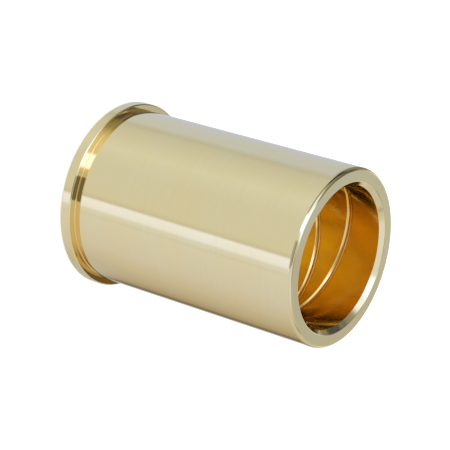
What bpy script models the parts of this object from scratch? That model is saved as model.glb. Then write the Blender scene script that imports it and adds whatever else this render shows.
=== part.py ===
"""Ejector bushing: a headed guide sleeve turned from one bar of bearing brass.

The bushing stands on its head: the head's outer face lies on Z = 0, the bore runs
along Z and the open nose is up. Two helical oil grooves of opposite hand start at one
point of the bore, cross at every half turn, and end at one point.
"""

from math import cos, hypot, pi, radians, sin

import bmesh
import bpy
from mathutils import Vector

MM = 0.001

# Driving dimensions
LENGTH = 73.0 * MM
BORE_DIAMETER = 38.1 * MM
WALL_THICKNESS = 4.7625 * MM
HEAD_OVERHANG = 1.74 * MM
HEAD_THICKNESS = 3.4 * MM

# The head's rim: a clear break on the outer face, a light one on the seat
HEAD_BREAK = 0.5 * MM
SEAT_BREAK = 0.25 * MM

# The undercut that lets a plate seat square on the head. Its fillet is a little larger
# than its depth, so the flat seat starts just outside the body
NECK_WIDTH = 2.1 * MM
NECK_DEPTH = 0.5 * MM
NECK_FILLET = 0.55 * MM
NECK_SLOPE = 0.7 * MM

# The two ends of the sleeve: the nose is rounded, and the bore has a lead-in at each end
NOSE_ROUND = 1.1 * MM
BORE_LEAD_IN = 1.2 * MM

# The crossed oil grooves: a round channel in the bore, along two helices
GROOVE_WIDTH = 1.7 * MM
GROOVE_DEPTH = 0.5 * MM
GROOVE_BELOW_NOSE = 7.8 * MM
GROOVE_ABOVE_BASE = 12.35 * MM
GROOVE_HALF_TURNS = 7
GROOVE_RUN_OUT = 1.0 * MM
GROOVE_START_ANGLE = radians(182.0)

# Fineness of the faceted solid
TURN_STEPS = 80
FILLET_STEPS = 3
STEPS_PER_HALF_TURN = 21
CUTTER_SIDES = 10

BRASS_COLOUR = (0.92, 0.80, 0.42, 1.0)
BRASS_ROUGHNESS = 0.25
SHARP_ANGLE = radians(30.0)


def clear_scene():
    """Remove the objects that the scene starts with."""
    for old in list(bpy.data.objects):
        bpy.data.objects.remove(old, do_unlink=True)


def brass_material():
    """Bearing brass, freshly machined."""
    material = bpy.data.materials.new("bearing_brass")
    material.use_nodes = True
    shader = material.node_tree.nodes["Principled BSDF"]
    shader.inputs["Base Color"].default_value = BRASS_COLOUR
    shader.inputs["Metallic"].default_value = 1.0
    shader.inputs["Roughness"].default_value = BRASS_ROUGHNESS
    return material


def mesh_from(bm, name):
    """Turn every face outwards and hand the finished bmesh over as a mesh."""
    bmesh.ops.recalc_face_normals(bm, faces=bm.faces)
    mesh = bpy.data.meshes.new(name)
    bm.to_mesh(mesh)
    bm.free()
    return mesh


def corner(centre_r, centre_z, radius, start, end):
    """Points (r, z) along a round corner, from one angle to another."""
    angles = [start + (end - start) * i / FILLET_STEPS for i in range(FILLET_STEPS + 1)]
    return [(centre_r + radius * cos(a), centre_z + radius * sin(a)) for a in angles]


def sleeve_section():
    """The sleeve's half section as (r, z) points: down the outside, then up the bore."""
    bore_r = BORE_DIAMETER / 2
    body_r = bore_r + WALL_THICKNESS
    head_r = body_r + HEAD_OVERHANG
    neck_r = body_r - NECK_DEPTH
    neck_top = HEAD_THICKNESS + NECK_WIDTH

    nose = corner(body_r - NOSE_ROUND, LENGTH - NOSE_ROUND, NOSE_ROUND, pi / 2, 0.0)
    neck_slope = [(body_r, neck_top), (neck_r, neck_top - NECK_SLOPE)]
    neck_corner = corner(
        neck_r + NECK_FILLET, HEAD_THICKNESS + NECK_FILLET, NECK_FILLET, pi, 1.5 * pi
    )
    head = [
        (head_r - SEAT_BREAK, HEAD_THICKNESS),
        (head_r, HEAD_THICKNESS - SEAT_BREAK),
        (head_r, HEAD_BREAK),
        (head_r - HEAD_BREAK, 0.0),
    ]
    bore = [
        (bore_r + BORE_LEAD_IN, 0.0),
        (bore_r, BORE_LEAD_IN),
        (bore_r, LENGTH - BORE_LEAD_IN),
        (bore_r + BORE_LEAD_IN, LENGTH),
    ]
    return nose + neck_slope + neck_corner + head + bore


def turned_mesh(name, section):
    """Spin a closed half section about Z into a solid of revolution."""
    bm = bmesh.new()
    points = [bm.verts.new((r, 0.0, z)) for r, z in section]
    edges = [bm.edges.new((a, b)) for a, b in zip(points, points[1:] + points[:1])]
    bmesh.ops.spin(
        bm,
        geom=points + edges,
        cent=(0.0, 0.0, 0.0),
        axis=(0.0, 0.0, 1.0),
        angle=2 * pi,
        steps=TURN_STEPS,
        use_merge=True,
    )
    return mesh_from(bm, name)


def groove_cutter(name, hand):
    """A round bar bent along one helix, kept only to cut the bore; hand is 1 or -1.

    The bar's radius leaves the groove's width and depth in the bore's wall, and the bar
    runs on a little past both ends, so that the two grooves join there.
    """
    cutter_r = ((GROOVE_WIDTH / 2) ** 2 + GROOVE_DEPTH**2) / (2 * GROOVE_DEPTH)
    path_r = BORE_DIAMETER / 2 + GROOVE_DEPTH - cutter_r
    top = LENGTH - GROOVE_BELOW_NOSE
    sweep = GROOVE_HALF_TURNS * pi
    fall = (top - GROOVE_ABOVE_BASE) / sweep
    tilt = fall / hypot(fall, path_r)
    level = path_r / hypot(fall, path_r)
    run_out = GROOVE_RUN_OUT / path_r
    steps = GROOVE_HALF_TURNS * STEPS_PER_HALF_TURN
    # Facets that lie half a side apart keep the two cutters' edges from meeting at points
    first_side = 0.5 if hand > 0 else 0.0
    sides = [2 * pi * (i + first_side) / CUTTER_SIDES for i in range(CUTTER_SIDES)]

    bm = bmesh.new()
    rings = []
    for i in range(steps + 1):
        turned = -run_out + (sweep + 2 * run_out) * i / steps
        angle = GROOVE_START_ANGLE + hand * turned
        outward = Vector((cos(angle), sin(angle), 0.0))
        forward = Vector((-sin(angle), cos(angle), 0.0)) * hand * level - Vector((0.0, 0.0, tilt))
        across = outward.cross(forward)
        centre = outward * path_r + Vector((0.0, 0.0, top - fall * turned))
        rings.append(
            [bm.verts.new(centre + (outward * cos(a) + across * sin(a)) * cutter_r) for a in sides]
        )
    for ring, following in zip(rings, rings[1:]):
        for i in range(CUTTER_SIDES):
            j = (i + 1) % CUTTER_SIDES
            bm.faces.new((ring[i], ring[j], following[j], following[i]))
    bm.faces.new(rings[0])
    bm.faces.new(rings[-1])

    cutter = bpy.data.objects.new(name, mesh_from(bm, name))
    bpy.context.collection.objects.link(cutter)
    cutter.display_type = "WIRE"
    cutter.hide_render = True
    return cutter


def ejector_bushing():
    """The whole bushing: the turned sleeve with both oil grooves cut into its bore."""
    mesh = turned_mesh("ejector_bushing", sleeve_section())
    mesh.shade_smooth()
    mesh.set_sharp_from_angle(angle=SHARP_ANGLE)
    mesh.materials.append(brass_material())
    bushing = bpy.data.objects.new("ejector_bushing", mesh)
    bpy.context.collection.objects.link(bushing)
    for name, hand in (("right_hand_groove", 1), ("left_hand_groove", -1)):
        cut = bushing.modifiers.new(name, "BOOLEAN")
        cut.operation = "DIFFERENCE"
        cut.solver = "EXACT"
        cut.object = groove_cutter(name + "_cutter", hand)


clear_scene()
ejector_bushing()
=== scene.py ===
from math import acos, cos, pi, radians, sin, tan

import bpy
from mathutils import Matrix, Vector


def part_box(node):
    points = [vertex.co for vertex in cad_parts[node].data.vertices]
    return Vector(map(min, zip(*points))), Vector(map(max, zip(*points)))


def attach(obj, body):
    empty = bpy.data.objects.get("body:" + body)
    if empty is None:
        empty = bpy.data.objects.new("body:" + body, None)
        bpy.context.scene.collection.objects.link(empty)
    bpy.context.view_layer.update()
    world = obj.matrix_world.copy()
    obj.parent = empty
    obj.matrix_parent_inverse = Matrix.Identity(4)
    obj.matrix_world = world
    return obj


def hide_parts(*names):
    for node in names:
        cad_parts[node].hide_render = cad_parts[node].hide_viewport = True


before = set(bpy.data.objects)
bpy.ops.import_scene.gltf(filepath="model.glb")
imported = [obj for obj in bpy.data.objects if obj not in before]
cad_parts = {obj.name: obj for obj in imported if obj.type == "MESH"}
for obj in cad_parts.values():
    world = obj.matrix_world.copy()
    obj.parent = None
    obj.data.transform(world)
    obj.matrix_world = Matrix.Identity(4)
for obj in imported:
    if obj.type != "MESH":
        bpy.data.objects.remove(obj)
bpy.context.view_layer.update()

# Camera
# A long lens looks down past the open nose, rolled so that the bushing seems to lie on
# its side with its head to the left and its bore facing right.
MM = 0.001
CAMERA_LENS = 147.65
CAMERA_SENSOR = 36.0
CAMERA_DISTANCE = 411.1 * MM
CAMERA_HEIGHT = 301.2 * MM
CAMERA_DOWN = radians(32.84)
CAMERA_TURN = radians(-0.047)
CAMERA_ROLL = radians(106.68)
CAMERA_NEAREST = 10 * MM

camera = bpy.data.objects.new("camera", bpy.data.cameras.new("camera"))
camera.data.lens = CAMERA_LENS
camera.data.sensor_width = CAMERA_SENSOR
camera.data.clip_start = CAMERA_NEAREST
camera.location = (0.0, -CAMERA_DISTANCE, CAMERA_HEIGHT)
camera.rotation_euler = (
    Matrix.Rotation(CAMERA_TURN, 3, "Z")
    @ Matrix.Rotation(pi / 2 - CAMERA_DOWN, 3, "X")
    @ Matrix.Rotation(CAMERA_ROLL, 3, "Z")
).to_euler()
bpy.context.collection.objects.link(camera)
bpy.context.scene.camera = camera


# Bushing
# One piece of bearing brass, turned all over from bar: the body is ground, the bore is
# honed, and two oil grooves of opposite hand are milled into the bore.
sleeve_low, sleeve_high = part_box("ejector_bushing")
LENGTH = sleeve_high[2] - sleeve_low[2]
HEAD_RADIUS = (sleeve_high[0] - sleeve_low[0]) / 2
HEAD_OVERHANG = 1.74 * MM
HEAD_THICKNESS = 3.4 * MM
HEAD_BREAK = 0.5 * MM
SEAT_BREAK = 0.25 * MM
BODY_RADIUS = HEAD_RADIUS - HEAD_OVERHANG
WALL_THICKNESS = 4.7625 * MM
BORE_RADIUS = BODY_RADIUS - WALL_THICKNESS
BORE_LEAD_IN = 1.2 * MM
NOSE_ROUND = 1.15 * MM
NOSE_RUN_IN = 0.75 * MM
NOSE_STEEPEST = radians(65)
NOSE_CORNER = LENGTH - NOSE_RUN_IN / tan(NOSE_STEEPEST)
NECK_WIDTH = 2.1 * MM
NECK_DEPTH = 0.5 * MM
NECK_FILLET = 0.22 * MM
NECK_SLOPE = 0.35 * MM
NECK_TOP = HEAD_THICKNESS + NECK_WIDTH
NECK_RADIUS = BODY_RADIUS - NECK_DEPTH
NECK_FINISH_BOTTOM = HEAD_THICKNESS - SEAT_BREAK / 4
TURN_STEPS = 360

# Every machined corner is dulled by a small radius
EDGE_RADIUS = 0.12 * MM
LEAD_IN_ROUND = 0.35 * MM
FINE_RADIUS = 0.05 * MM
FEWEST_ARC_STEPS = 3
ARC_STEP = 0.14 * MM
SUPPORT_LINE = 0.03 * MM

# The oil grooves: a round bottom, and a slanted break where each meets the bore
GROOVE_WIDTH = 1.7 * MM
GROOVE_DEPTH = 0.5 * MM
GROOVE_EDGE_DEPTH = 0.05 * MM
GROOVE_EDGE_SLOPE = 1.6
GROOVE_ARC_STEPS = 12
CUTTER_CLEARANCE = 0.4 * MM
GROOVE_BELOW_NOSE = 7.8 * MM
GROOVE_ABOVE_BASE = 12.35 * MM
GROOVE_TURNS = 3.5
GROOVE_RUN_OUT = 1.0 * MM
GROOVE_END_ANGLE = radians(2.0)
GROOVE_STEPS = 240
SECOND_GROOVE_OFFSET = radians(0.07)
CREASE_ANGLE = radians(24)


def rounded_section(corners):
    """A closed half section as (r, z) points, from corners given as (r, z, radius).

    Each corner becomes an arc with one more point close on either side of it, which
    keeps the long faces next to it flat under smooth shading.
    """
    points = []
    for i, (r, z, radius) in enumerate(corners):
        here = Vector((r, z))
        back = (Vector(corners[i - 1][:2]) - here).normalized()
        ahead = (Vector(corners[(i + 1) % len(corners)][:2]) - here).normalized()
        half = acos(max(-1.0, min(1.0, back.dot(ahead)))) / 2
        reach = radius / tan(half)
        centre = here + (back + ahead).normalized() * radius / sin(half)
        first = here + back * reach - centre
        last = here + ahead * reach - centre
        hand = 1 if first.x * last.y > first.y * last.x else -1
        steps = max(FEWEST_ARC_STEPS, round(radius * (pi - 2 * half) / ARC_STEP))
        step_angle = hand * (pi - 2 * half) / steps
        points.append(here + back * (reach + SUPPORT_LINE))
        for step in range(steps + 1):
            points.append(centre + Matrix.Rotation(step_angle * step, 2) @ first)
        points.append(here + ahead * (reach + SUPPORT_LINE))
    return points


sleeve_corners = [
    (BODY_RADIUS - NOSE_RUN_IN, LENGTH, FINE_RADIUS),
    (BODY_RADIUS, NOSE_CORNER, NOSE_ROUND),
    (BODY_RADIUS, NECK_TOP, EDGE_RADIUS),
    (NECK_RADIUS, NECK_TOP - NECK_SLOPE, EDGE_RADIUS),
    (NECK_RADIUS, HEAD_THICKNESS, NECK_FILLET),
    (HEAD_RADIUS - SEAT_BREAK, HEAD_THICKNESS, EDGE_RADIUS),
    (HEAD_RADIUS, HEAD_THICKNESS - SEAT_BREAK, EDGE_RADIUS),
    (HEAD_RADIUS, HEAD_BREAK, EDGE_RADIUS),
    (HEAD_RADIUS - HEAD_BREAK, 0.0, EDGE_RADIUS),
    (BORE_RADIUS + BORE_LEAD_IN, 0.0, EDGE_RADIUS),
    (BORE_RADIUS, BORE_LEAD_IN, EDGE_RADIUS),
    (BORE_RADIUS, LENGTH - BORE_LEAD_IN, EDGE_RADIUS),
    (BORE_RADIUS + BORE_LEAD_IN, LENGTH, LEAD_IN_ROUND),
]


def groove_section():
    """The groove cutter's outline as (outwards, up) points about the bore's wall.

    A round bottom outside the wall, with sides that slant away through the wall and end
    clear inside the bore.
    """
    half_width = GROOVE_WIDTH / 2
    radius = (half_width**2 + GROOVE_DEPTH**2) / (2 * GROOVE_DEPTH)
    inset = radius - GROOVE_DEPTH
    half_angle = acos((inset + GROOVE_EDGE_DEPTH) / radius)
    angles = [half_angle * (2 * i / GROOVE_ARC_STEPS - 1) for i in range(GROOVE_ARC_STEPS + 1)]
    points = [(radius * cos(a) - inset, radius * sin(a)) for a in angles]
    side = points[-1][1] + (GROOVE_EDGE_DEPTH + CUTTER_CLEARANCE) * GROOVE_EDGE_SLOPE
    return points + [(-CUTTER_CLEARANCE, side), (-CUTTER_CLEARANCE, -side)]


def flat_outline(name, points):
    """A closed line through (x, y) points, as a mesh of edges."""
    mesh = bpy.data.meshes.new(name)
    edges = [(i, (i + 1) % len(points)) for i in range(len(points))]
    mesh.from_pydata([(x, y, 0.0) for x, y in points], edges, [])
    outline = bpy.data.objects.new(name, mesh)
    bpy.context.collection.objects.link(outline)
    return outline


def place(tree, kind, inputs=None, **options):
    """Add a node, set its options, then set or link its inputs by name or number."""
    node = tree.nodes.new(kind)
    for option, value in options.items():
        setattr(node, option, value)
    for name, value in (inputs or {}).items():
        if isinstance(value, bpy.types.NodeSocket):
            tree.links.new(value, node.inputs[name])
        else:
            node.inputs[name].default_value = value
    return node


def reckon(tree, operation, *values):
    """A Math node's result."""
    return place(tree, "ShaderNodeMath", dict(enumerate(values)), operation=operation).outputs[0]


def from_axis(tree, axes):
    """The distance from the bushing's axis, given a Separate XYZ node's outputs."""
    across = reckon(tree, "MULTIPLY", axes["X"], axes["X"])
    return reckon(tree, "SQRT", reckon(tree, "MULTIPLY_ADD", axes["Y"], axes["Y"], across))


def turned_sleeve_tree():
    """Spin a section about Z, cut the two grooves, and give each surface its finish."""
    tree = bpy.data.node_groups.new("turned sleeve", "GeometryNodeTree")
    sockets = {
        "Section": "NodeSocketGeometry",
        "Turn Steps": "NodeSocketInt",
        "Cutter Outline": "NodeSocketObject",
        "Groove Bottom": "NodeSocketFloat",
        "Groove Height": "NodeSocketFloat",
        "Groove Turns": "NodeSocketFloat",
        "Groove Steps": "NodeSocketInt",
        "Groove Angle": "NodeSocketFloat",
        "Second Groove Offset": "NodeSocketFloat",
        "Crease Angle": "NodeSocketFloat",
        "Body Radius": "NodeSocketFloat",
        "Body Bottom": "NodeSocketFloat",
        "Body Top": "NodeSocketFloat",
        "Bore Radius": "NodeSocketFloat",
        "Bore Bottom": "NodeSocketFloat",
        "Bore Top": "NodeSocketFloat",
        "Groove Depth": "NodeSocketFloat",
        "Neck Bottom": "NodeSocketFloat",
        "Turned Finish": "NodeSocketMaterial",
        "Head Finish": "NodeSocketMaterial",
        "Neck Finish": "NodeSocketMaterial",
        "Ground Finish": "NodeSocketMaterial",
        "Honed Finish": "NodeSocketMaterial",
        "Milled Finish": "NodeSocketMaterial",
    }
    for name, kind in sockets.items():
        tree.interface.new_socket(name, in_out="INPUT", socket_type=kind)
    tree.interface.new_socket("Sleeve", in_out="OUTPUT", socket_type="NodeSocketGeometry")
    given = tree.nodes.new("NodeGroupInput").outputs

    # The section is swept round a small circle, and set back by that circle's radius
    circle_radius = 1 * MM
    outline = place(tree, "GeometryNodeMeshToCurve", {"Mesh": given["Section"]})
    set_back = {
        "Geometry": outline.outputs[0],
        "Translation": (-circle_radius, 0, 0),
        "Scale": (1, -1, 1),
    }
    section = place(tree, "GeometryNodeTransform", set_back)
    round_sizes = {"Resolution": given["Turn Steps"], "Radius": circle_radius}
    circle = place(tree, "GeometryNodeCurvePrimitiveCircle", round_sizes)
    sweep = {"Curve": circle.outputs[0], "Profile Curve": section.outputs[0]}
    grooved = place(tree, "GeometryNodeCurveToMesh", sweep).outputs[0]

    # One groove cutter follows a spiral
    cutter_outline = place(tree, "GeometryNodeObjectInfo", {"Object": given["Cutter Outline"]})
    cutter_line = place(
        tree, "GeometryNodeMeshToCurve", {"Mesh": cutter_outline.outputs["Geometry"]}
    )
    cutter_section = place(
        tree, "GeometryNodeTransform", {"Geometry": cutter_line.outputs[0], "Scale": (-1, -1, 1)}
    )
    spiral_sizes = {
        "Resolution": given["Groove Steps"],
        "Rotations": given["Groove Turns"],
        "Start Radius": given["Bore Radius"],
        "End Radius": given["Bore Radius"],
        "Height": given["Groove Height"],
    }
    spiral = place(tree, "GeometryNodeCurveSpiral", spiral_sizes)
    upright = place(tree, "GeometryNodeSetCurveNormal", {0: spiral.outputs[0]}, mode="Z_UP")
    cutter_sweep = {
        "Curve": upright.outputs[0],
        "Profile Curve": cutter_section.outputs[0],
        "Fill Caps": True,
    }
    cutter = place(tree, "GeometryNodeCurveToMesh", cutter_sweep).outputs[0]

    # The other is its mirror image, turned a hair so that no two faces coincide
    image = place(tree, "GeometryNodeTransform", {"Geometry": cutter, "Scale": (1, -1, 1)})
    mirrored = place(tree, "GeometryNodeFlipFaces", {"Mesh": image.outputs[0]}).outputs[0]
    second_angle = reckon(tree, "ADD", given["Groove Angle"], given["Second Groove Offset"])
    for shape, angle in ((cutter, given["Groove Angle"]), (mirrored, second_angle)):
        lift = place(tree, "ShaderNodeCombineXYZ", {"Z": given["Groove Bottom"]})
        turn = place(tree, "ShaderNodeCombineXYZ", {"Z": angle})
        where = {"Geometry": shape, "Translation": lift.outputs[0], "Rotation": turn.outputs[0]}
        placed = place(tree, "GeometryNodeTransform", where)
        grooved = place(
            tree,
            "GeometryNodeMeshBoolean",
            {"Mesh 1": grooved, "Mesh 2": placed.outputs[0]},
            operation="DIFFERENCE",
            solver="EXACT",
        ).outputs["Mesh"]

    # Smooth all over but for the grooves' edges
    edge_angle = tree.nodes.new("GeometryNodeInputMeshEdgeAngle").outputs["Unsigned Angle"]
    crease = reckon(tree, "GREATER_THAN", edge_angle, given["Crease Angle"])
    smooth = place(tree, "GeometryNodeSetShadeSmooth", {0: grooved}, domain="FACE")
    creased = place(
        tree,
        "GeometryNodeSetShadeSmooth",
        {0: smooth.outputs[0], "Selection": crease, "Shade Smooth": False},
        domain="EDGE",
    )

    # Each surface is found by its height and its distance from the axis
    position = tree.nodes.new("GeometryNodeInputPosition").outputs[0]
    axes = place(tree, "ShaderNodeSeparateXYZ", {0: position}).outputs
    radius = from_axis(tree, axes)
    slack = 0.02 * MM

    def between(value, low, high):
        above = reckon(tree, "GREATER_THAN", value, low)
        return reckon(tree, "MULTIPLY", above, reckon(tree, "LESS_THAN", value, high))

    body_skin = reckon(tree, "SUBTRACT", given["Body Radius"], slack)
    bore_skin = reckon(tree, "ADD", given["Bore Radius"], slack)
    groove_floor = reckon(tree, "ADD", bore_skin, given["Groove Depth"])
    outside = reckon(tree, "GREATER_THAN", radius, groove_floor)
    below_neck = reckon(tree, "LESS_THAN", axes["Z"], given["Neck Bottom"])
    on_head = reckon(tree, "MULTIPLY", below_neck, outside)
    beside_neck = between(axes["Z"], given["Neck Bottom"], given["Body Bottom"])
    in_neck = reckon(tree, "MULTIPLY", beside_neck, outside)
    beside_body = between(axes["Z"], given["Body Bottom"], given["Body Top"])
    within_bore = between(axes["Z"], given["Bore Bottom"], given["Bore Top"])
    on_body = reckon(tree, "MULTIPLY", beside_body, reckon(tree, "GREATER_THAN", radius, body_skin))
    on_bore = reckon(tree, "MULTIPLY", within_bore, reckon(tree, "LESS_THAN", radius, bore_skin))
    in_groove = reckon(tree, "MULTIPLY", within_bore, between(radius, bore_skin, groove_floor))
    finished = place(tree, "GeometryNodeRealizeInstances", {0: creased.outputs[0]}).outputs[0]
    finished = place(
        tree, "GeometryNodeSetMaterial", {"Geometry": finished, "Material": given["Turned Finish"]}
    ).outputs[0]
    surfaces = {
        "Head Finish": on_head,
        "Neck Finish": in_neck,
        "Ground Finish": on_body,
        "Honed Finish": on_bore,
        "Milled Finish": in_groove,
    }
    for name, surface in surfaces.items():
        chosen = {"Geometry": finished, "Selection": surface, "Material": given[name]}
        finished = place(tree, "GeometryNodeSetMaterial", chosen).outputs[0]
    place(tree, "NodeGroupOutput", {"Sleeve": finished})
    return tree


# The finishes: bare brass, on which each tool has left its own fine marks
BRASS = (0.91, 0.79, 0.45)
WARM_BRASS = (0.925, 0.775, 0.41)
HEAD_BRASS = (0.915, 0.775, 0.41)
# The neck's tone is a little deeper and warmer than the body's: painted shade for the undercut
SHADED_NECK_BRASS = (0.93, 0.755, 0.385)
# The bore's three tones, its scratches' too, are deeper and more orange than the body's: painted
# shade and reflection for the deep bore, where light bounces from wall to wall
BORE_SHADED_BRASS = (0.955, 0.70, 0.13)
BORE_SHADED_WARM = (0.945, 0.665, 0.12)
BORE_SHADED_SCRATCHES = (0.98, 0.80, 0.35)
MILLED_BRASS = (0.98, 0.65, 0.23)
RUBBED_BRASS = (0.96, 0.87, 0.58)

# Shared by the finishes: how pale corners and marks are, and what roughens the metal
EDGE_SHARE = 0.4
MARK_SHARE = 0.3
MARK_ROUGHNESS = 0.02
FILM_ROUGHNESS = 0.03

# Shared by the finishes: the sizes of patches and rubbed corners, and the marks' direction
PATCH_SIZE = 9 * MM
FILM_SEED = (0.31, 0.17, 0.05)
RUBBED_WIDTH = 0.2 * MM
RUBBED_STRENGTH = 6.0
QUARTER_TURN = 0.25


def effect_group(name, inputs, outputs):
    """A shader node group with number inputs and outputs, and its input node's sockets."""
    group = bpy.data.node_groups.new(name, "ShaderNodeTree")
    for in_out, names in (("INPUT", inputs), ("OUTPUT", outputs)):
        for socket in names:
            group.interface.new_socket(socket, in_out=in_out, socket_type="NodeSocketFloat")
    return group, group.nodes.new("NodeGroupInput").outputs


def object_point(tree):
    """Where a point of the surface lies on the bushing."""
    return tree.nodes.new("ShaderNodeTexCoord").outputs["Object"]


def stretch(tree, value, low, high):
    """A value from low to high, opened out to the whole range from 0 to 1."""
    return place(tree, "ShaderNodeMapRange", {0: value, 1: low, 2: high}).outputs[0]


def tool_rings():
    """Fine rings round the axis, as a tool or a grinding wheel leaves them.

    Wander is how much a ring changes on its way round.
    """
    group, given = effect_group("tool rings", ("Spacing", "Wander"), ("Rings",))
    axes = place(group, "ShaderNodeSeparateXYZ", {0: object_point(group)}).outputs
    radius = from_axis(group, axes)
    inwards = reckon(group, "DIVIDE", radius, given["Spacing"])
    upwards = reckon(group, "DIVIDE", axes["Z"], given["Spacing"])
    wander = reckon(group, "DIVIDE", given["Wander"], radius)
    section = place(
        group,
        "ShaderNodeCombineXYZ",
        {0: inwards, 1: upwards, 2: reckon(group, "MULTIPLY", axes["X"], wander)},
    )
    noise = place(
        group,
        "ShaderNodeTexNoise",
        {
            "Vector": section.outputs[0],
            "W": reckon(group, "MULTIPLY", axes["Y"], wander),
            "Scale": 1.0,
            "Detail": 3.0,
            "Roughness": 0.6,
        },
        noise_dimensions="4D",
    )
    rings = stretch(group, noise.outputs[0], low=0.3, high=0.7)
    place(group, "NodeGroupOutput", {"Rings": rings})
    return group


def hone_scratches():
    """Two families of fine helical scratches that cross, as a hone leaves them in a bore.

    Twist is how far a scratch turns on its way up, in radians per metre.
    """
    group, given = effect_group("hone scratches", ("Width", "Twist"), ("Scratches",))
    point = object_point(group)
    height = place(group, "ShaderNodeSeparateXYZ", {0: point}).outputs["Z"]
    width_to_length = 0.03
    fineness = reckon(group, "DIVIDE", 1.0, given["Width"])
    along = reckon(group, "MULTIPLY", fineness, width_to_length)
    scale = place(group, "ShaderNodeCombineXYZ", {0: fineness, 1: fineness, 2: along})
    families = []
    for hand in (1.0, -1.0):
        angle = reckon(group, "MULTIPLY", reckon(group, "MULTIPLY", height, hand), given["Twist"])
        twisted = place(
            group,
            "ShaderNodeVectorRotate",
            {"Vector": point, "Angle": angle},
            rotation_type="Z_AXIS",
        )
        scaled = place(
            group,
            "ShaderNodeVectorMath",
            {0: twisted.outputs[0], 1: scale.outputs[0]},
            operation="MULTIPLY",
        )
        noise = place(
            group, "ShaderNodeTexNoise", {"Vector": scaled.outputs[0], "Scale": 1.0, "Detail": 2.0}
        )
        families.append(stretch(group, noise.outputs[0], low=0.4, high=0.75))
    place(group, "NodeGroupOutput", {"Scratches": reckon(group, "MAXIMUM", *families)})
    return group


def cutter_grain():
    """A fine even grain, as a small milling cutter leaves in a narrow groove."""
    group, given = effect_group("cutter grain", ("Grain Size",), ("Grain",))
    fineness = reckon(group, "DIVIDE", 1.0, given["Grain Size"])
    noise = place(
        group,
        "ShaderNodeTexNoise",
        {"Vector": object_point(group), "Scale": fineness, "Detail": 2.0},
    )
    grain = stretch(group, noise.outputs[0], low=0.3, high=0.7)
    place(group, "NodeGroupOutput", {"Grain": grain})
    return group


def metal_patches():
    """Broad soft patches where the metal is a little warmer, and where a cloth left a film."""
    group, given = effect_group("metal patches", ("Patch Size",), ("Warmth", "Film"))
    fineness = reckon(group, "DIVIDE", 1.0, given["Patch Size"])
    point = object_point(group)
    broad = place(
        group, "ShaderNodeTexNoise", {"Vector": point, "Scale": fineness, "Detail": 2.0}
    )
    elsewhere = place(group, "ShaderNodeVectorMath", {0: point, 1: FILM_SEED}).outputs[0]
    twice_as_fine = reckon(group, "MULTIPLY", fineness, 2.0)
    wiped = place(
        group,
        "ShaderNodeTexNoise",
        {
            "Vector": elsewhere,
            "Scale": twice_as_fine,
            "Detail": 5.0,
            "Roughness": 0.65,
            "Distortion": 0.6,
        },
    )
    film = stretch(group, wiped.outputs[0], low=0.45, high=0.8)
    warmth = stretch(group, broad.outputs[0], low=0.35, high=0.65)
    place(group, "NodeGroupOutput", {"Warmth": warmth, "Film": film})
    return group


def rubbed_edges():
    """A mask that is 1 on a corner and fades to 0 on the flats beside it."""
    group, given = effect_group("rubbed edges", ("Edge Width", "Strength"), ("Edge",))
    rounded = place(group, "ShaderNodeBevel", {"Radius": given["Edge Width"]}, samples=6)
    true = group.nodes.new("ShaderNodeNewGeometry").outputs["Normal"]
    likeness = place(
        group, "ShaderNodeVectorMath", {0: rounded.outputs[0], 1: true}, operation="DOT_PRODUCT"
    )
    turned = reckon(group, "SUBTRACT", 1.0, likeness.outputs["Value"])
    mask = place(group, "ShaderNodeClamp", {0: reckon(group, "MULTIPLY", turned, given["Strength"])})
    place(group, "NodeGroupOutput", {"Edge": mask.outputs[0]})
    return group


def use_group(tree, group, **values):
    """Place an effect with its own values, and give its outputs."""
    return place(tree, "ShaderNodeGroup", values, node_tree=group).outputs


def tinted(tree, under, over, share):
    """One colour over another; a colour is three numbers or a socket."""
    mix = place(tree, "ShaderNodeMix", {0: share}, data_type="RGBA")
    for socket, colour in ((6, under), (7, over)):
        if isinstance(colour, bpy.types.NodeSocket):
            tree.links.new(colour, mix.inputs[socket])
        else:
            mix.inputs[socket].default_value = (*colour, 1.0)
    return mix.outputs[2]


def brass_finish(name, colours, roughness, marks, relief, drawn_out):
    """Bare brass with one tool's marks, given as (group, its values).

    colours are the metal's, its warmer patches' and the paler one of its marks and
    corners, or the metal's alone, where it is even. relief is the marks' depth, and
    drawn_out is how far they spread a highlight across them.
    """
    material = bpy.data.materials.new(name)
    material.use_nodes = True
    tree = material.node_tree
    shader = tree.nodes["Principled BSDF"]
    group, values = marks
    mark = use_group(tree, group, **values)[0]
    patches = use_group(tree, METAL_PATCHES, **{"Patch Size": PATCH_SIZE})

    if len(colours) == 1:
        shader.inputs["Base Color"].default_value = (*colours[0], 1.0)
    else:
        colour, warm_colour, rubbed_colour = colours
        metal = tinted(tree, colour, warm_colour, patches["Warmth"])
        rubbing = {"Edge Width": RUBBED_WIDTH, "Strength": RUBBED_STRENGTH}
        rubbed_edge = use_group(tree, RUBBED_EDGES, **rubbing)["Edge"]
        pale_edge = reckon(tree, "MULTIPLY", rubbed_edge, EDGE_SHARE)
        paler = reckon(tree, "MULTIPLY_ADD", mark, MARK_SHARE, pale_edge)
        rubbed = tinted(tree, metal, rubbed_colour, paler)
        tree.links.new(rubbed, shader.inputs["Base Color"])

    gloss = reckon(tree, "MULTIPLY_ADD", mark, MARK_ROUGHNESS, roughness)
    gloss = reckon(tree, "MULTIPLY_ADD", patches["Film"], FILM_ROUGHNESS, gloss)
    tree.links.new(gloss, shader.inputs["Roughness"])
    bump = place(tree, "ShaderNodeBump", {"Height": mark, "Distance": relief, "Strength": 1.0})
    tree.links.new(bump.outputs[0], shader.inputs["Normal"])

    shader.inputs["Metallic"].default_value = 1.0
    shader.inputs["Anisotropic"].default_value = drawn_out
    shader.inputs["Anisotropic Rotation"].default_value = QUARTER_TURN
    tangent = place(tree, "ShaderNodeTangent", direction_type="RADIAL", axis="Z")
    tree.links.new(tangent.outputs[0], shader.inputs["Tangent"])
    return material


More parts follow.
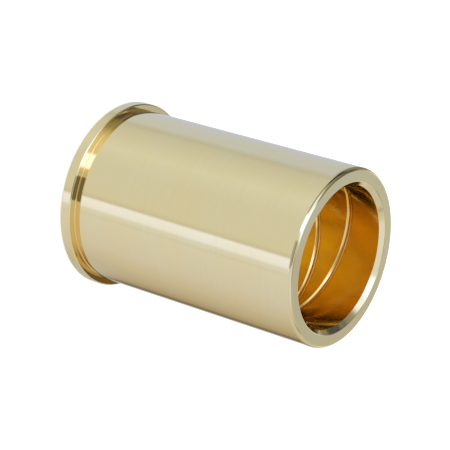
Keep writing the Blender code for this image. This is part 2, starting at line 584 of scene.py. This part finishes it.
TOOL_RINGS = tool_rings()
HONE_SCRATCHES = hone_scratches()
CUTTER_GRAIN = cutter_grain()
METAL_PATCHES = metal_patches()
RUBBED_EDGES = rubbed_edges()
TURNING_MARKS = (TOOL_RINGS, {"Spacing": 0.16 * MM, "Wander": 0.6})
GRINDING_MARKS = (TOOL_RINGS, {"Spacing": 0.22 * MM, "Wander": 2.5})
HONING_MARKS = (HONE_SCRATCHES, {"Width": 0.2 * MM, "Twist": 90.0})
MILLING_MARKS = (CUTTER_GRAIN, {"Grain Size": 0.25 * MM})

turned_brass = brass_finish(
    "turned brass",
    (BRASS, WARM_BRASS, RUBBED_BRASS),
    roughness=0.08,
    marks=TURNING_MARKS,
    relief=0.0010 * MM,
    drawn_out=0.5,
)
head_brass = brass_finish(
    "head brass",
    (HEAD_BRASS, WARM_BRASS, RUBBED_BRASS),
    roughness=0.08,
    marks=TURNING_MARKS,
    relief=0.0010 * MM,
    drawn_out=0.5,
)
# Its colour holds painted shade for the undercut
shaded_neck_brass = brass_finish(
    "neck brass with painted shade",
    (SHADED_NECK_BRASS,),
    roughness=0.05,
    marks=TURNING_MARKS,
    relief=0.0004 * MM,
    drawn_out=0.5,
)
ground_brass = brass_finish(
    "ground brass",
    (BRASS, WARM_BRASS, RUBBED_BRASS),
    roughness=0.07,
    marks=GRINDING_MARKS,
    relief=0.0006 * MM,
    drawn_out=0.7,
)
# Its colours hold painted shade and reflection for the deep bore
shaded_honed_brass = brass_finish(
    "honed brass with painted bore shade",
    (BORE_SHADED_BRASS, BORE_SHADED_WARM, BORE_SHADED_SCRATCHES),
    roughness=0.14,
    marks=HONING_MARKS,
    relief=0.00008 * MM,
    drawn_out=0.3,
)
milled_brass = brass_finish(
    "milled brass",
    (MILLED_BRASS,),
    roughness=0.12,
    marks=MILLING_MARKS,
    relief=0.0008 * MM,
    drawn_out=0.0,
)

run_out_turns = GROOVE_RUN_OUT / BORE_RADIUS / (2 * pi)
groove_rise = (LENGTH - GROOVE_BELOW_NOSE - GROOVE_ABOVE_BASE) / GROOVE_TURNS
sleeve_sizes = {
    "Turn Steps": TURN_STEPS,
    "Cutter Outline": flat_outline("groove cutter outline", groove_section()),
    "Groove Bottom": GROOVE_ABOVE_BASE - groove_rise * run_out_turns,
    "Groove Height": groove_rise * (GROOVE_TURNS + 2 * run_out_turns),
    "Groove Turns": GROOVE_TURNS + 2 * run_out_turns,
    "Groove Steps": GROOVE_STEPS,
    "Groove Angle": GROOVE_END_ANGLE,
    "Second Groove Offset": SECOND_GROOVE_OFFSET,
    "Crease Angle": CREASE_ANGLE,
    "Body Radius": BODY_RADIUS,
    "Body Bottom": NECK_TOP,
    "Body Top": LENGTH - NOSE_ROUND,
    "Bore Radius": BORE_RADIUS,
    "Bore Bottom": BORE_LEAD_IN,
    "Bore Top": LENGTH - BORE_LEAD_IN,
    "Groove Depth": GROOVE_DEPTH,
    "Neck Bottom": NECK_FINISH_BOTTOM,
    "Turned Finish": turned_brass,
    "Head Finish": head_brass,
    "Neck Finish": shaded_neck_brass,
    "Ground Finish": ground_brass,
    "Honed Finish": shaded_honed_brass,
    "Milled Finish": milled_brass,
}
section = flat_outline("sleeve section", rounded_section(sleeve_corners))
turning = section.modifiers.new("turned sleeve", "NODES")
turning.node_group = turned_sleeve_tree()
for socket in turning.node_group.interface.items_tree:
    if socket.in_out == "INPUT" and socket.name in sleeve_sizes:
        turning[socket.identifier] = sleeve_sizes[socket.name]
evaluated = section.evaluated_get(bpy.context.evaluated_depsgraph_get())
sleeve_mesh = bpy.data.meshes.new_from_object(evaluated)
sleeve_mesh.name = "bushing"
section.modifiers.clear()
bpy.data.objects.remove(section)
bpy.data.objects.remove(sleeve_sizes["Cutter Outline"])

bushing = bpy.data.objects.new("bushing", sleeve_mesh)
bpy.context.collection.objects.link(bushing)
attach(bushing, "root")
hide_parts("ejector_bushing")


# Floor
# A plain white table that the bushing stands on, head down. It keeps the bushing's faint
# shadow, and the polished brass shows the studio instead of it.
FLOOR_REACH = 2.0
PAPER_WHITE = (0.9, 0.9, 0.9, 1.0)
PAPER_GLOW = 0.42
floor_mesh = bpy.data.meshes.new("floor")
floor_corners = [
    (-FLOOR_REACH, -FLOOR_REACH, 0.0),
    (FLOOR_REACH, -FLOOR_REACH, 0.0),
    (FLOOR_REACH, FLOOR_REACH, 0.0),
    (-FLOOR_REACH, FLOOR_REACH, 0.0),
]
floor_mesh.from_pydata(floor_corners, [], [(0, 1, 2, 3)])
floor = bpy.data.objects.new("floor", floor_mesh)
bpy.context.collection.objects.link(floor)
floor.visible_glossy = False
paper = bpy.data.materials.new("white paper")
paper.use_nodes = True
paper_tree = paper.node_tree
paper_tree.nodes.clear()
seen = paper_tree.nodes.new("ShaderNodeLightPath").outputs["Is Camera Ray"]
lit_paper = place(paper_tree, "ShaderNodeBsdfDiffuse", {"Color": PAPER_WHITE})
lift = reckon(paper_tree, "MULTIPLY", seen, PAPER_GLOW)
glow = place(paper_tree, "ShaderNodeEmission", {"Strength": lift})
both = place(paper_tree, "ShaderNodeAddShader", {0: lit_paper.outputs[0], 1: glow.outputs[0]})
place(paper_tree, "ShaderNodeOutputMaterial", {"Surface": both.outputs[0]})
floor_mesh.materials.append(paper)


# Studio
# A pale room in bands: what the brass shows from below the horizon, what it shows from
# above it, and a bright ceiling. Angles run round from the camera's side, towards +X.
world = bpy.data.worlds.new("studio")
world.use_nodes = True
bpy.context.scene.world = world
room = world.node_tree
room.nodes.clear()
toward = place(
    room, "ShaderNodeSeparateXYZ", {0: room.nodes.new("ShaderNodeTexCoord").outputs["Generated"]}
).outputs
azimuth = reckon(room, "ARCTAN2", toward["X"], reckon(room, "MULTIPLY", toward["Y"], -1.0))
elevation = reckon(room, "ARCSINE", toward["Z"])

# Each band holds the degrees round the room where its tone changes, and the tones there
LOW_BAND = (
    (-180, (0.40, 0.42, 0.50)),
    (-168, (0.56, 0.61, 0.76)),
    (-112, (0.60, 0.66, 0.83)),
    (-103, (0.55, 0.58, 0.61)),
    (-95, (0.61, 0.63, 0.67)),
    (-56, (0.73, 0.77, 0.82)),
    (-30, (0.69, 0.71, 0.75)),
    (11, (0.695, 0.71, 0.725)),
    (17.4, (0.62, 0.62, 0.64)),
    (19.2, (0.92, 1.00, 1.42)),
    (30, (0.88, 0.96, 1.32)),
    (33, (0.727, 0.771, 0.925)),
    (36, (0.745, 0.782, 0.912)),
    (39.5, (0.695, 0.713, 0.81)),
    (42.5, (0.73, 0.75, 0.845)),
    (80, (0.68, 0.68, 0.77)),
    (104, (0.62, 0.59, 0.58)),
    # From 128 to 165 degrees the low band falls to a dark brown and back: painted shadow of a
    # table's contact wedge
    (128, (0.51, 0.46, 0.39)),
    (144, (0.41, 0.33, 0.22)),
    (151, (0.19, 0.16, 0.11)),
    (157, (0.22, 0.19, 0.14)),
    (165, (0.62, 0.62, 0.64)),
)
HIGH_BAND = (
    (-180, (0.52, 0.56, 0.64)),
    (-158, (0.44, 0.46, 0.50)),
    (-146, (0.25, 0.26, 0.25)),
    (-118, (0.20, 0.21, 0.19)),
    (-102, (0.28, 0.29, 0.26)),
    (-88, (0.36, 0.36, 0.30)),
    (-72, (0.72, 0.76, 0.84)),
    (-58, (0.85, 0.92, 1.05)),
    (-20, (0.85, 0.92, 1.12)),
    (-10, (0.66, 0.71, 0.92)),
    (45, (0.68, 0.71, 0.88)),
    (80, (0.68, 0.67, 0.70)),
    (140, (0.60, 0.60, 0.62)),
    (170, (0.50, 0.51, 0.55)),
)
CEILING = (0.75, 0.74, 0.70)
ROOM_WHITE = (0.95, 0.95, 0.95)

# Where one band gives way to the next, as the height in degrees and how soft the line is
HORIZON = (-2, 5)
CEILING_LINE = (68, 4)

# What stands in front of the walls, farthest first, as the degrees that it fills: its left
# and right edges, its lower and upper edges, how soft those two pairs are, and its tone
CARDS = {
    "far wall on the right": ((150, 190), (-18, 24), (12, 5), (0.76, 0.74, 0.74)),
    "far wall on the left": ((-190, -150), (-18, 24), (12, 5), (0.76, 0.74, 0.74)),
    "edge of the table": ((112, 172), (-60, -35.9), (8, 0.5), (0.56, 0.57, 0.62)),
    "table on the left": ((-160, -104), (-28.6, -4), (6, 1.2), (0.25, 0.24, 0.20)),
    "upper wall": ((-14, 104), (44, 95), (3, 3), (0.78, 0.83, 1.00)),
    "softbox's faded side": ((-86, -40), (40, 95), (8, 3), (1.00, 1.12, 1.60)),
    "softbox": ((-60, -18), (40, 95), (7, 2), (1.10, 1.30, 2.10)),
    "softbox's top": ((-130, -18), (64, 95), (8, 3), (1.10, 1.30, 2.10)),
    "softbox's foot": ((-39, -18), (6, 44), (3, 2), (1.4, 1.8, 4.4)),
    "camera's stand": ((-5, 28), (-15, 32), (0.8, 3), (0.44, 0.42, 0.38)),
    "camera": ((-5, 28), (31, 54), (0.8, 1.5), (0.27, 0.27, 0.27)),
    "camera's lens hood": ((-5, 28), (34.8, 38.6), (0.8, 0.6), (0.17, 0.17, 0.18)),
    "camera's arm": ((-5, 165), (66, 83), (1.5, 3), (0.42, 0.42, 0.44)),
    "dark corner": ((-165, -108), (31, 44), (5, 3), (0.13, 0.13, 0.19)),
    "shade at the horizon": ((-149, -38), (-6, 16), (7, 4), (0.24, 0.24, 0.19)),
    "gap at the horizon": ((-116, -84), (-9, 17), (7, 3), (0.02, 0.02, 0.015)),
    "gap on the left": ((-139, -117), (13, 29), (3, 3), (0.08, 0.08, 0.10)),
    # The last two cards are painted shadow: the dark contact wedge of a table lying against the
    # head, as the brass shows it
    "painted contact shadow": ((106, 166), (35, 38.5), (20, 0.8), (0.28, 0.175, 0.07)),
    "deepest painted contact shadow": ((148, 190), (34.5, 38.5), (8, 0.8), (0.15, 0.09, 0.035)),
}


def band(tones):
    """A colour that changes round the room, from (degrees, tone) pairs.

    The ramp runs from 0 to 1 as the azimuth runs from -180 to 180 degrees.
    """
    turn = reckon(room, "ADD", reckon(room, "DIVIDE", azimuth, 2 * pi), 0.5)
    ramp = place(room, "ShaderNodeValToRGB", {0: turn})
    stops = ramp.color_ramp.elements
    stops.remove(stops[1])
    for i, (angle, tone) in enumerate(tones):
        position = angle / 360 + 0.5
        stop = stops.new(position) if i else stops[0]
        stop.position = position
        stop.color = (*tone, 1.0)
    return ramp.outputs[0]


def past(value, at, soft):
    """A smooth step from 0 to 1 where an angle passes a value in degrees."""
    limits = {0: value, 1: radians(at - soft), 2: radians(at + soft)}
    return place(room, "ShaderNodeMapRange", limits, interpolation_type="SMOOTHSTEP").outputs[0]


def window(value, low, high, soft):
    """1 inside a range of angles and 0 outside it, with soft edges."""
    return reckon(room, "SUBTRACT", past(value, low, soft), past(value, high, soft))


light = tinted(room, band(LOW_BAND), band(HIGH_BAND), past(elevation, *HORIZON))
light = tinted(room, light, CEILING, past(elevation, *CEILING_LINE))
for (left, right), (bottom, top), (side_soft, up_soft), tone in CARDS.values():
    across = window(azimuth, left, right, side_soft)
    up = window(elevation, bottom, top, up_soft)
    light = tinted(room, light, tone, reckon(room, "MULTIPLY", across, up))
shown_in_metal = room.nodes.new("ShaderNodeLightPath").outputs["Is Glossy Ray"]
shown = tinted(room, ROOM_WHITE, light, shown_in_metal)
surround = place(room, "ShaderNodeBackground", {"Color": shown, "Strength": 1.0})
place(room, "ShaderNodeOutputWorld", {"Surface": surround.outputs[0]})

bpy.context.scene.view_settings.view_transform = "Standard"
